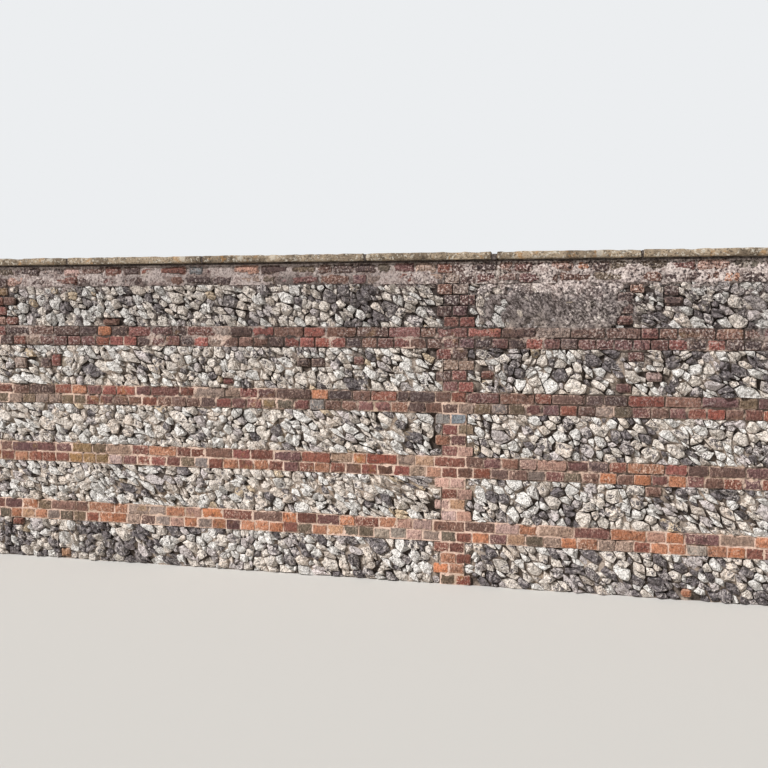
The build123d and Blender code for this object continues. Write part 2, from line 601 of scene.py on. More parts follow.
Operand = Union["Reading", float]
GRIME, SOOT, CRUST = dye(104, 91, 89), dye(42, 34, 35), dye(225, 212, 204)


class Reading:
    """A value or a colour that changes over a surface, with the arithmetic that the finishes use."""

    def __init__(self, nodes: "Nodes", socket: bpy.types.NodeSocket) -> None:
        """Wraps an output of one of the nodes."""
        self.nodes = nodes
        self.socket = socket

    def _math(self, operation: str, *operands: Operand) -> "Reading":
        """Adds a Math node."""
        return self.nodes.node("ShaderNodeMath", dict(enumerate(operands)), operation=operation)

    def __add__(self, other: Operand) -> "Reading":
        """The sum."""
        return self._math("ADD", self, other)

    __radd__ = __add__

    def __sub__(self, other: Operand) -> "Reading":
        """The difference."""
        return self._math("SUBTRACT", self, other)

    def __rsub__(self, other: Operand) -> "Reading":
        """The difference, the other way round."""
        return self._math("SUBTRACT", other, self)

    def __mul__(self, other: Operand) -> "Reading":
        """The product."""
        return self._math("MULTIPLY", self, other)

    __rmul__ = __mul__

    def most(self, other: Operand) -> "Reading":
        """The larger of the two."""
        return self._math("MAXIMUM", self, other)

    def rise(self, start: float, end: float, low: float = 0.0, high: float = 1.0) -> "Reading":
        """Goes smoothly from low to high while the value goes from start to end."""
        sockets = {0: self, 1: start, 2: end, 3: low, 4: high}
        return self.nodes.node("ShaderNodeMapRange", sockets, interpolation_type="SMOOTHSTEP")

    def crease(self, start: float, end: float) -> "Reading":
        """Thin lines where a noise crosses its middle: 0 further off than start and 1 nearer than end."""
        off = self - 0.5
        return off.most(off * -1.0).rise(start, end)


class Nodes:
    """A tree of nodes, added as they are named."""

    def __init__(self, owner: Union[bpy.types.Material, bpy.types.World]) -> None:
        """Empties the tree of a material or a world."""
        owner.use_nodes = True
        self.tree = owner.node_tree
        self.tree.nodes.clear()

    def node(
        self, kind: str, sockets: dict[Any, Any], output: Union[int, str] = 0, **settings: Any
    ) -> Reading:
        """Adds one node.

        Args:
            kind: The node's type.
            sockets: Values or readings for its inputs, by place or by name.
            output: The output that is read.
            settings: Its settings, which are set first.

        Returns:
            That output.
        """
        made = self.tree.nodes.new(kind)
        for key, value in settings.items():
            setattr(made, key, value)
        for key, value in sockets.items():
            self.feed(made.inputs[key], value)
        return Reading(self, made.outputs[output])

    def feed(self, socket: bpy.types.NodeSocket, value: Any) -> None:
        """Links a socket to a reading or sets it; None leaves it as it is."""
        if isinstance(value, Reading):
            self.tree.links.new(value.socket, socket)
        elif value is not None:
            socket.default_value = value

    def end(self, kind: str, result: Reading) -> None:
        """Adds the tree's output."""
        self.feed(self.tree.nodes.new(kind).inputs[0], result)


class Surface(Nodes):
    """The nodes of one material."""

    def __init__(self, name: str) -> None:
        """Starts an empty material."""
        self.material = bpy.data.materials.new(name)
        super().__init__(self.material)

    @cached_property
    def where(self) -> Reading:
        """The place on the piece, in metres."""
        return self.node("ShaderNodeTexCoord", {}, "Object")

    @cached_property
    def along(self) -> Reading:
        """The place's part along the wall."""
        return self.part(self.where, 0)

    @cached_property
    def height(self) -> Reading:
        """The place's height above the ground."""
        return self.part(self.where, 2)

    @cached_property
    def tint(self) -> Reading:
        """The lump's own colour."""
        return self.attribute("tint", "Color")

    @cached_property
    def marks(self) -> tuple[Reading, ...]:
        """The lump's edge (for mortar, its dirt and painted shade), its share of dark core and its luck."""
        vector = self.attribute("marks", "Vector")
        return tuple(self.part(vector, axis) for axis in range(3))

    def attribute(self, name: str, output: str) -> Reading:
        """An attribute of the mesh."""
        return self.node("ShaderNodeAttribute", {}, output, attribute_name=name)

    def moved(self, *reach: float) -> Reading:
        """The place moved by the lump's luck, so that no two lumps have the same pattern."""
        luck = self.marks[2]
        shift = self.node("ShaderNodeCombineXYZ", {axis: luck * far for axis, far in enumerate(reach)})
        return self.vector("ADD", self.where, shift)

    def noise(
        self, where: Reading, scale: float, detail: float = 2.0, rough: float = 0.5, bend: float = 0.0,
        output: Union[int, str] = 0,
    ) -> Reading:
        """Cloudy noise, about 0.5 in the middle; scale is in cells to the metre."""
        sockets = {"Vector": where, "Scale": scale, "Detail": detail, "Roughness": rough, "Distortion": bend}
        return self.node("ShaderNodeTexNoise", sockets, output)

    def cells(self, where: Reading, scale: float) -> Reading:
        """Distance to the nearest of scattered points."""
        return self.node("ShaderNodeTexVoronoi", {"Vector": where, "Scale": scale}, "Distance")

    def vector(self, operation: str, first: Any, second: Any) -> Reading:
        """Adds a Vector Math node."""
        return self.node("ShaderNodeVectorMath", {0: first, 1: second}, operation=operation)

    def part(self, vector: Reading, axis: int) -> Reading:
        """One part of a vector."""
        return self.node("ShaderNodeSeparateXYZ", {0: vector}, axis)

    def coats(self, colour: Any, *coats: tuple[Any, Operand]) -> Reading:
        """Lays coats over a colour, each by its own share."""
        for coat, share in coats:
            colour = self.node("ShaderNodeMix", {0: share, 6: colour, 7: coat}, 2, data_type="RGBA")
        return colour

    def shade(self, colour: Reading, factor: Reading) -> Reading:
        """Darkens or lightens a colour by a factor."""
        return self.node("ShaderNodeVectorMath", {0: colour, 3: factor}, operation="SCALE")

    def relief(self, *heights: tuple[Reading, float]) -> Optional[Reading]:
        """Bumps upon one another, each of some metres where its height goes from 0 to 1."""
        normal = None
        for height, distance in heights:
            sockets = {"Strength": 1.0, "Distance": distance, "Height": height, "Normal": normal}
            normal = self.node("ShaderNodeBump", sockets)
        return normal

    def finish(
        self, colour: Any, rough: Operand, normal: Optional[Reading] = None, gleam: float = 0.25
    ) -> bpy.types.Material:
        """Adds the shader.

        Args:
            colour: Base colour.
            rough: Roughness.
            normal: Bumped normal, if any.
            gleam: Specular level.

        Returns:
            The finished material.
        """
        sockets = {"Base Color": colour, "Roughness": rough, "Normal": normal, "Specular IOR Level": gleam}
        self.end("ShaderNodeOutputMaterial", self.node("ShaderNodeBsdfPrincipled", sockets))
        return self.material


@dataclass(frozen=True)
class Weather:
    """What the weather lays on a wall: a dull film, soot in the pits and pale crusts, more with height."""

    start: float  # height at which it begins
    full: float  # height at which it is thickest
    crust: float = 0.8
    soot: float = 0.8
    film: float = 0.15

    def over(self, s: Surface, colour: Reading) -> Reading:
        """Weathers a surface's colour."""
        cloud = s.noise(s.where, 6.0, 3.0, 0.6)
        spots = s.noise(s.where, 62.0, 4.0, 0.7)
        drift = s.noise(s.where, 2.3, 2.0, 0.6) + s.height.rise(1.98, 2.10) * s.along.rise(-0.2, 0.5) * 0.2
        age = (s.height + (cloud - 0.5) * 1.2).rise(self.start, self.full) * s.along.rise(-0.6, 0.4, 0.6, 1.0)
        return s.coats(
            colour,
            (GRIME, age * self.film),
            (SOOT, spots.rise(0.49, 0.39) * (age * self.soot + 0.08)),
            (CRUST, spots.rise(0.54, 0.60) * (age * drift.rise(0.36, 0.60) * self.crust + 0.03)),
        )


@dataclass(frozen=True)
class MortarFinish:
    """Old lime mortar: sandy and cream, with dirt and painted shade in its hollows, greyer near the coping.
    """

    name: str = "lime_mortar"
    sand: Colour = dye(172, 148, 126)
    dirt_and_shade: Colour = dye(50, 41, 37)
    cement: Colour = dye(120, 112, 112)
    moss: Colour = dye(140, 130, 92)
    stain: Colour = dye(112, 86, 78)
    crust: Colour = dye(205, 189, 182)
    weather: Weather = Weather(1.2, 2.0, 0.95, 0.9)

    def material(self) -> bpy.types.Material:
        """Weathers the mortar's own colour."""
        s = Surface(self.name)
        sunk_dirt_and_shade, _, _ = s.marks
        cloud = s.noise(s.where, 5.0, 3.0, 0.6)
        grain = s.noise(s.where, 190.0, 2.0, 0.6)
        lump = s.noise(s.where, 60.0, 3.0, 0.6)
        bright = (s.height + (cloud - 0.5) * 0.35).rise(2.00, 2.14) * s.along.rise(-0.2, 0.5, 0.5, 1.0)
        stain = s.noise(s.where, 16.0, 3.0, 0.65).rise(0.46, 0.62) * s.height.rise(1.9, 2.1)
        colour = s.coats(
            s.tint,
            (self.sand, cloud.rise(0.42, 0.68) * 0.6),
            (self.cement, (s.height + (cloud - 0.5) * 0.8).rise(1.45, 1.95) * 0.85),
            (self.crust, bright),
            (self.moss, s.noise(s.where, 2.6, 4.0, 0.7).rise(0.58, 0.72) * 0.3),
            (self.dirt_and_shade, lump.rise(0.54, 0.70) * 0.4),
            (self.stain, stain * 0.55),
        )
        slant = {0: s.along + s.height, 1: 0.0, 2: (s.along - s.height) * 0.3}
        split = s.noise(s.node("ShaderNodeCombineXYZ", slant), 17.0, 3.0, 0.6).crease(0.045, 0.010)
        colour = s.coats(
            self.weather.over(s, colour),
            (self.dirt_and_shade, split * s.height.rise(1.80, 1.88) * s.height.rise(2.10, 2.02) * 0.8),
            # painted shade with dirt where the mortar lies deep
            (self.dirt_and_shade, (sunk_dirt_and_shade + (lump - 0.5) * 0.6).rise(0.22, 0.92) * 0.92),
        )
        return s.finish(s.shade(colour, grain * 0.6 + 0.7), 0.95, s.relief((lump, 0.007), (grain, 0.002)))


@dataclass(frozen=True)
class BrickFinish:
    """Soft handmade brick: mottled bodies, limy flecks and arrises, soot and crusts higher up."""

    name: str = "old_red_brick"
    bloom: Colour = dye(216, 186, 168)
    soot: Colour = dye(60, 46, 42)
    ochre: Colour = dye(168, 132, 72)
    weather: Weather = Weather(0.9, 2.1, 0.75, 0.95)

    def material(self) -> bpy.types.Material:
        """Weathers the bricks' own colours."""
        s = Surface(self.name)
        edge, _, luck = s.marks
        own = s.moved(7.0, 3.0, 11.0)
        mottle = s.noise(own, 22.0, 4.0, 0.65)
        fleck = s.noise(own, 70.0, 3.0, 0.65)
        grain = s.noise(own, 210.0, 2.0, 0.6)
        drag = s.noise(s.vector("MULTIPLY", own, (1.0, 1.0, 0.35)), 120.0, 3.0, 0.65, 0.6)
        cloud = s.noise(own, 13.0, 3.0, 0.7).rise(0.40, 0.58, 0.35, 1.15)
        limy = s.height.rise(0.9, 1.6, 1.0, 0.5) * cloud
        colour = s.coats(
            s.tint,
            (self.soot, mottle.rise(0.48, 0.74) * 0.66),
            (self.soot, drag.rise(0.50, 0.36) * 0.62),
            (self.bloom, drag.rise(0.54, 0.66) * (luck.rise(0.0, 1.0) * 0.55 + 0.2) * limy),
            (self.bloom, fleck.rise(0.55, 0.66) * (luck.rise(0.2, 1.0) * 0.8 + 0.15) * limy),
            (self.bloom, (edge + (fleck - 0.5) * 1.2).rise(0.72, 1.15) * limy * 0.6),
        )
        ochre = s.noise(s.where, 3.1, 4.0, 0.7).rise(0.60, 0.70)
        colour = s.coats(self.weather.over(s, colour), (self.ochre, ochre * limy * 0.4))
        normal = s.relief((mottle, 0.012), (fleck, 0.009), (drag, 0.004))
        return s.finish(s.shade(colour, grain * 1.3 + 0.35), 0.9, normal)


@dataclass(frozen=True)
class FlintFinish:
    """Field flints: chalky rind, glassy grey and black core where they broke, painted shade with dirt round
    their feet and in fine cracks.
    """

    name: str = "field_flint"
    grey: Colour = dye(122, 113, 116)
    black: Colour = dye(46, 40, 45)
    rim: Colour = dye(240, 230, 222)
    dirt_and_shade: Colour = dye(58, 46, 38)
    lichen: Colour = dye(206, 190, 152)
    weather: Weather = Weather(1.3, 2.5, 0.5, 0.85, 0.3)

    def material(self) -> bpy.types.Material:
        """Breaks the rind over the core."""
        s = Surface(self.name)
        edge, core, _ = s.marks
        own = s.moved(13.0, 5.0, 9.0)
        broken = s.noise(own, 36.0, 3.0, 0.62, 0.8)
        fine = s.noise(own, 95.0, 3.0, 0.65)
        tangle = s.vector("SUBTRACT", s.noise(own, 30.0, output="Color"), (0.5, 0.5, 0.5))
        scar = s.cells(s.vector("ADD", own, s.vector("MULTIPLY", tangle, (0.03, 0.03, 0.03))), 26.0)
        # dark crease lines: painted shade of fine cracks and hollows in the flint
        painted_crack_shade = s.noise(own, 30.0, 2.0, 0.6, 1.6).crease(0.030, 0.008)
        bare = core + (broken - 0.5) * 1.7 + (fine - 0.5) * 1.0 + (0.42 - scar) * 0.8
        mask = bare.rise(0.50, 0.58)
        inside = s.coats(self.grey, (self.black, s.noise(own, 50.0, 3.0, 0.6).rise(0.44, 0.60)))
        colour = s.coats(
            s.tint,
            (self.dirt_and_shade, fine.rise(0.58, 0.70) * 0.3),
            (self.rim, bare.rise(0.30, 0.46) * 0.7),
            (inside, mask * 0.9),
            (self.lichen, s.noise(s.where, 8.0, 4.0, 0.7).rise(0.60, 0.74) * 0.25),
        )
        colour = s.coats(
            self.weather.over(s, colour),
            (self.dirt_and_shade, painted_crack_shade * 0.66),
            # painted shade with dirt at each stone's foot, by the mortar
            (self.dirt_and_shade, (edge + (fine - 0.5) * 1.2).rise(0.62, 1.05) * 0.9),
        )
        normal = s.relief((scar, 0.027), (broken, 0.021), (fine, 0.007))
        return s.finish(colour, 0.88 - mask * 0.35, normal)


@dataclass(frozen=True)
class CopingFinish:
    """Weathered slabs: pitted buff faces with dark streaks, round pale lichens and orange ones."""

    name: str = "coping_stone"
    buff: Colour = dye(166, 148, 126)
    brown: Colour = dye(112, 98, 82)
    soot: Colour = dye(58, 50, 43)
    white: Colour = dye(206, 198, 184)
    orange: Colour = dye(170, 124, 70)
    lichens: tuple[tuple[float, float, float], ...] = (  # place along the wall, height and radius
        (-2.02, 2.297, 0.022), (-1.57, 2.293, 0.020), (-1.32, 2.297, 0.022), (-3.10, 2.300, 0.015),
        (-0.62, 2.295, 0.014), (0.95, 2.292, 0.024), (1.60, 2.300, 0.014), (2.45, 2.290, 0.022),
        (3.10, 2.300, 0.018),
    )

    def material(self) -> bpy.types.Material:
        """Lays lichens over pitted stone."""
        s = Surface(self.name)
        cloud = s.noise(s.where, 7.0, 4.0, 0.65)
        pits = s.noise(s.where, 95.0, 3.0, 0.65)
        crust = s.noise(s.where, 48.0, 3.0, 0.6)
        gold = s.noise(s.where, 15.0, 4.0, 0.7).rise(0.55, 0.63) * s.noise(s.where, 1.1, 1.0).rise(0.48, 0.56)
        colour = s.coats(
            self.buff,
            (self.brown, cloud.rise(0.38, 0.62)),
            (self.white, crust.rise(0.54, 0.62) * 0.7),
            (self.soot, pits.rise(0.52, 0.60) * 0.75),
            (self.orange, gold * 0.45),
        )
        for u, v, radius in self.lichens:
            away = s.vector("DIVIDE", s.vector("SUBTRACT", s.where, (u, 0.0, v)), (radius, 1.0, radius))
            far = s.node("ShaderNodeVectorMath", {0: away}, "Value", operation="LENGTH")
            spot = (far + (crust - 0.5) * 2.6).rise(1.05, 0.85)
            colour = s.coats(colour, (self.white, spot * 0.5))
        return s.finish(colour, 0.92, s.relief((cloud, 0.006), (pits, 0.005)))


# Bricks and mortar


@dataclass
class Bricklayer:
    """Lays worn bricks on a face of the wall."""

    stock: Stock
    rng: np.random.Generator
    wear: float = 0.0045  # how far an arris is worn round
    set_back: float = 0.0016  # how much the bricks' faces differ in depth
    least: float = 0.06  # the shortest piece of brick that is laid
    tilt: float = 0.012  # how much its face leans
    turn: float = 0.006  # how far out of level it lies
    ragged: float = 0.0015  # how uneven its outline is
    grain: float = 0.0006  # how uneven its face is

    def lay(
        self, u: float, v: float, length: float, height: float, side: Side, tone: BrickTone,
        face: float = FACE, depth: float = SHOWN_DEPTH, both_ends: bool = False,
    ) -> None:
        """Lays one brick.

        Args:
            u: Its middle along the wall.
            v: Its middle height.
            length: Its length along the wall.
            height: Its height.
            side: The face of the wall.
            tone: Its body colour.
            face: How far out its face is.
            depth: How deep it is behind that face.
            both_ends: Whether its back arris is worn too, for bricks seen from the end.
        """
        rng = self.rng
        a, b = length / 2, height / 2
        wear = self.wear * rng.uniform(0.6, 1.5)
        outline = self._outline(a, b)
        segments = len(outline)
        chip = rng.uniform(0.3, 1.0, segments) ** 3 * wear
        # Rings from the back to the face: how far each is drawn in and lies below the face, and its edge
        shape = [(0.0, depth, 1.0), (0.0, wear, 1.0), (0.4 * wear, 0.35 * wear, 0.95)]
        shape += [(1.3 * wear, 0.0014, 0.75), (0.55 * b, 0.0003, 0.2)]
        if both_ends:
            shape = [(0.9 * wear, depth, 0.9), (0.0, depth - wear, 1.0)] + shape[1:]
        back = len(shape) - 5
        tilt_u, tilt_v, turn = (rng.normal(0, spread) for spread in (self.tilt, self.tilt, self.turn))
        out = face - abs(rng.normal(0, self.set_back))
        rings, edges = [], []
        for number, (inset, below, edge) in enumerate(shape):
            ring = outline * np.array([1 - inset / a, 1 - inset / b])
            depths = np.full(segments, out - below)
            if number > back:
                depths = depths - (chip if number <= back + 3 else 0) + rng.normal(0, self.grain, segments)
                depths = depths + tilt_u * ring[:, 0] * 0.3 + tilt_v * ring[:, 1]
            rings.append(np.column_stack([ring, depths]))
            edges.append(np.full(segments, edge))
        points = np.concatenate(rings + [np.array([[0.0, 0.0, out + rng.normal(0, 0.001)]])])
        x, y, out_to = points.T
        self.stock.lay(
            np.clip(u + x - turn * y, -WALL_END, WALL_END), np.maximum(v + y + turn * x, 0.0),
            np.minimum(out_to, OUTMOST), ring_faces(segments, len(shape)), side, Stuff.BRICK,
            self._shade(tone), np.concatenate(edges + [np.zeros(1)]), 0.0, rng.uniform(),
        )

    def _outline(self, a: float, b: float) -> Grid:
        """Outline of a worn brick, anticlockwise.

        Args:
            a: Half its length.
            b: Half its height.

        Returns:
            Places about its middle.
        """
        rng = self.rng
        points = []
        for index, (su, sv) in enumerate(((1, 1), (-1, 1), (-1, -1), (1, -1))):
            r = min(self.wear * rng.uniform(0.6, 1.8) * (2.4 if rng.uniform() < 0.15 else 1.0), 0.8 * b)
            for turn in (0.0, math.pi / 4, math.pi / 2):
                turn = index * math.pi / 2 + turn
                points.append((su * (a - r) + r * math.cos(turn), sv * (b - r) + r * math.sin(turn)))
            if index % 2 == 0 and a > 0.03:
                points += [(su * a / 3, sv * b), (-su * a / 3, sv * b)]
        outline = np.array(points)
        return outline + rng.normal(0, self.ragged, outline.shape)

    def _shade(self, tone: BrickTone) -> Colour:
        """A brick's own shade of its tone."""
        light = math.exp(self.rng.normal(-0.01, 0.17))
        warm = self.rng.normal(0.01, 0.065)
        r, g, b, _ = tone.value
        parts = (r * light * (1 + warm), g * light, b * light * (1 - warm))
        return tuple(min(part, 0.9) for part in parts) + (1.0,)

    def course(
        self, start: float, end: float, course: int, side: Side, lengths: dict[float, int],
        mix: dict[BrickTone, int], face: float = FACE,
    ) -> None:
        """Lays one course, with the bricks that stand out in their places.

        Args:
            start: X of its left end.
            end: X of its right end.
            course: Its number from the ground.
            side: The face of the wall.
            lengths: Lengths of brick and their weights.
            mix: Tones and their weights.
            face: How far out the faces are.
        """
        spans: list[tuple[float, float, Optional[BrickTone]]] = []
        at = start
        for marked in MARKED.get(course, ()) if side is Side.FRONT else ():
            if not start < marked.u < end:
                continue
            half = (marked.length + JOINT) / 2
            low, high = marked.u - half, min(marked.u + half, end)
            if low > at + self.least:
                spans += self._fill(at, low, lengths)
                at = low
            if high > at + self.least:
                spans.append((at, high, marked.tone))
                at = high
        spans += self._fill(at, end, lengths)
        for low, high, tone in spans:
            height = BRICK_HEIGHT + self.rng.normal(0, 0.0018)
            v = course_middle(course) + self.rng.normal(0, 0.0016)
            tone = tone or draw(mix, self.rng)
            self.lay((low + high) / 2, v, high - low - JOINT, height, side, tone, face)

    def _fill(self, start: float, end: float, lengths: dict[float, int]) -> list[tuple[float, float, None]]:
        """Shares out one stretch of a course among bricks.

        Args:
            start: X of its left end.
            end: X of its right end.
            lengths: Lengths of brick and their weights.

        Returns:
            Start and end of each brick with its joint, and no tone.
        """
        runs: list[float] = []
        while sum(runs) < end - start - self.least:
            runs.append(draw(lengths, self.rng) * self.rng.uniform(0.97, 1.03) + JOINT)
        scale = (end - start) / sum(runs) if runs else 1.0
        spans: list[tuple[float, float, None]] = []
        for run in runs:
            at = spans[-1][1] if spans else start
            spans.append((at, at + run * scale, None))
        return spans


Level = Callable[[Grid, Grid, Side], Grid]


@dataclass
class MortarCore:
    """The mortar behind the bricks and stones of one piece, as one closed block with two worked faces."""

    u0: float
    u1: float
    v0: float
    v1: float
    step: float  # about how far apart the lines of its mesh are
    level: Level  # how far out its faces are
    # how dark its faces are painted: dirt, and painted shade where they lie deep
    dirt_and_shade: Level = joint_dirt_and_shade
    tint: Colour = dye(222, 192, 174)
    rim: float = 0.0  # width of an extra row along its sides

    def lay(self, stock: Stock) -> None:
        """Adds the block to a piece's stock."""
        u, v = np.meshgrid(self._lines(self.u0, self.u1, 1), self._lines(self.v0, self.v1, 0))
        rows, row = u.shape
        size = rows * row
        faces: list[tuple[int, ...]] = []
        for a in (j * row + i for j in range(rows - 1) for i in range(row - 1)):
            faces.append((a, a + 1, a + row + 1, a + row))
            faces.append((size + a, size + a + row, size + a + row + 1, size + a + 1))
        number = np.arange(size).reshape(u.shape)
        rim = np.concatenate([number[0], number[1:, -1], number[-1, -2::-1], number[-2:0:-1, 0]]).tolist()
        faces += [(a, size + a, size + b, b) for a, b in zip(rim, rim[1:] + rim[:1])]
        depth = np.concatenate([self.level(u, v, Side.FRONT).ravel(), -self.level(u, v, Side.BACK).ravel()])
        # each face's dirt and painted shade, carried as the edge mark
        dirt_and_shade = np.concatenate([self.dirt_and_shade(u, v, side).ravel() for side in Side])
        across, upward = np.tile(u.ravel(), 2), np.tile(v.ravel(), 2)
        stock.lay(across, upward, depth, tuple(faces), Side.FRONT, Stuff.MORTAR, self.tint, dirt_and_shade)

    def _lines(self, start: float, end: float, more: int) -> Grid:
        """Places of the lines across one of the block's ways, about a step apart."""
        inner = np.linspace(start + self.rim, end - self.rim, max(3, round((end - start) / self.step) + more))
        return np.unique(np.concatenate([[start], inner, [end]]))


@dataclass
class Pier:
    """One brick pier: two headers to a course, each course set over to tooth into the flint."""

    index: int
    materials: Materials
    stretcher_share: float = 0.12
    plumb: float = 0.0015  # how much the bricks differ in height and in place
    end_joint: float = 0.003  # how far the bricks stand back from the wall's end
    end_width: float = 0.104  # how wide the middle brick of the end face is
    end_core: float = 0.013  # how far the mortar stands back from the wall's end

    def build(self) -> bpy.types.Object:
        """Lays the pier's bricks and mortar."""
        stock = Stock()
        layer = Bricklayer(stock, np.random.default_rng(700 + self.index))
        centre, half, end = PIER_CENTRES[self.index], (PIER_WIDTH - TOOTH) / 2, WALL_END - self.end_core
        ends = {0: (-end, centre + half), 2: (centre - half, end)}
        u0, u1 = ends.get(self.index, (centre - half, centre + half))
        MortarCore(u0, u1, 0.0, COURSES * COURSE, 0.022, joint_level).lay(stock)
        for course in range(COURSES):
            for side in Side:
                self._course(layer, course, side)
            if self.index != 1 and course % 2 == 0:
                self._end(layer, course)
        name = PIER_NAMES[self.index]
        return stock.piece(f"brick_{name}", (name,), self.materials, "brickwork")

    def _course(self, layer: Bricklayer, course: int, side: Side) -> None:
        """One course on one face of the pier.

        Args:
            layer: The bricklayer.
            course: Number of the course.
            side: Face of the wall.
        """
        rng = layer.rng
        left, right = pier_side(self.index, -1, course), pier_side(self.index, 1, course)
        width = right - left
        splits = [0.0, 0.5, 1.0]
        if width > PIER_WIDTH + 0.01:
            splits[1] = 0.42 if self.index == 2 else 0.58
        elif rng.uniform() < self.stretcher_share:
            splits = [0.0, 1.0]
        shown = self.index == 1 and side is Side.FRONT and course < len(PIER_BRICKS)
        tones = PIER_BRICKS[course] if shown else ()
        if tones:
            splits = [0.0, 0.5, 1.0] if len(tones) == 2 else [0.0, 1.0]
        for number, (low, high) in enumerate(zip(splits, splits[1:])):
            first, last = self.index == 0 and low == 0.0, self.index == 2 and high == 1.0
            a = left + low * width + (self.end_joint if first else JOINT / 2)
            b = left + high * width - (self.end_joint if last else JOINT / 2)
            deep = BRICK if course % 2 == 1 and side is Side.FRONT else BRICK_WIDTH
            v = course_middle(course) + rng.normal(0, self.plumb)
            height = BRICK_HEIGHT + rng.normal(0, self.plumb)
            tone = tones[number] if tones else draw(PIER_MIXES[course // PIER_STEP], rng)
            depth = deep if first or last else SHOWN_DEPTH
            layer.lay((a + b) / 2, v, b - a, height, side, tone, depth=depth, both_ends=first or last)

    def _end(self, layer: Bricklayer, course: int) -> None:
        """The middle brick of the wall's end face, between the two quoins of a course."""
        u = (WALL_END - self.end_joint - BRICK_WIDTH / 2) * (-1 if self.index == 0 else 1)
        size, face = (BRICK_WIDTH, BRICK_HEIGHT), self.end_width / 2
        tone = draw(PIER_MIXES[course // PIER_STEP], layer.rng)
        layer.lay(u, course_middle(course), *size, Side.FRONT, tone, face, self.end_width, True)


@dataclass
class Courses:
    """The two courses of brick over one band of flint; those under the coping are the most worn."""

    bay: int
    band: int
    materials: Materials
    wears: tuple[float, ...] = (0.004, 0.0045, 0.006, 0.0065, 0.010)  # of the arrises, band by band

    def build(self) -> bpy.types.Object:
        """Lays the courses on both faces."""
        top = self.band == BANDS
        stock = Stock()
        rng = np.random.default_rng(300 + self.bay if top else 200 + 10 * self.band + self.bay)
        layer = Bricklayer(stock, rng, self.wears[self.band - 1], 0.004 if top else 0.0016)
        first = self.band * FLINT_COURSES + (self.band - 1) * LACING_COURSES
        heights = (first * COURSE, (first + LACING_COURSES) * COURSE)
        level, step = (self.lapped_level, 0.022) if top else (joint_level, 0.024)
        MortarCore(*bay_span(self.bay), *heights, step, level).lay(stock)
        mix, face = COURSE_MIXES[self.band - 1], FACE - 0.001 if top else FACE
        for side in Side:
            for course, lengths in ((first, STRETCHERS if top else HEADERS), (first + 1, STRETCHERS)):
                layer.course(*course_ends(self.bay, course), course, side, lengths, mix, face)
        bay = BAY_NAMES[self.bay]
        name = f"top_courses_{bay}" if top else f"lacing_course_{bay}_{self.band}"
        return stock.piece(f"brick_{name}", (name,), self.materials, "brickwork")

    def lapped_level(self, u: Grid, v: Grid, side: Side) -> Grid:
        """Depth of the mortar under the coping, which laps over the bricks in places."""
        lap = np.clip(Swell(0.30, 21 + int(side.value)).at(u, v) * 0.004 - 0.001, -0.002, 0.004)
        return joint_level(u, v, side) + lap


# Flintwork


@dataclass(frozen=True)
class Cell:
    """The room that one flint has among its neighbours."""

    u: float
    v: float
    corners: Grid  # directions of its corners
    turns: Grid  # directions of its sides
    reaches: Grid  # distances to them

    def outline(self, turns: Grid, roundness: Any, gap: float) -> Grid:
        """How far the flint reaches in each direction.

        Args:
            turns: Directions.
            roundness: Higher follows the corners of the room more closely.
            gap: Room left for mortar at each side.

        Returns:
            Distances from the flint's middle.
        """
        facing = np.cos(turns[:, None] - self.turns[None, :])
        pull = np.clip(facing, 0, None) / np.maximum(self.reaches - gap, 0.004)[None, :]
        return 1 / np.maximum((pull**roundness).sum(1) ** (1 / roundness), 1e-3)

    def bearings(self, count: int, rng: np.random.Generator) -> Grid:
        """Directions in which an angular flint is shaped: its room's corners and others between.

        Args:
            count: About how many.
            rng: Source of chance.

        Returns:
            Directions in order.
        """
        even = np.linspace(0, 2 * math.pi, count, endpoint=False) + rng.uniform(0, 1)
        chosen: list[float] = []
        for turn in np.concatenate([self.corners, even]) % (2 * math.pi):
            away = [abs((turn - other + math.pi) % (2 * math.pi) - math.pi) for other in chosen]
            if not away or min(away) > 4.0 / count:
                chosen.append(float(turn))
        return np.sort(np.array(chosen))

    def size(self) -> float:
        """Radius of about the room's area."""
        return float(np.mean(self.outline(np.linspace(0, 2 * math.pi, 12, endpoint=False), 8.0, 0.0)))


@dataclass(frozen=True)
class Stone:
    """What the lobes of one flint share."""

    cell: Cell
    side: Side
    tint: Colour  # colour of its rind
    bare: float  # share of bare core
    luck: float


Fixed = list[tuple[float, float, float, Optional[FlintTone]]]

# Points of large, middling and small flints: round their waist, on their shoulder and on top
FLINT_POINTS = ((8, 7, 5), (6, 6, 3), (5, 4, 2))

# Panels whose stones lean over more than the others', by bay and band
STEEP = {(0, 2): -0.90, (0, 3): -0.80, (1, 4): -0.75}


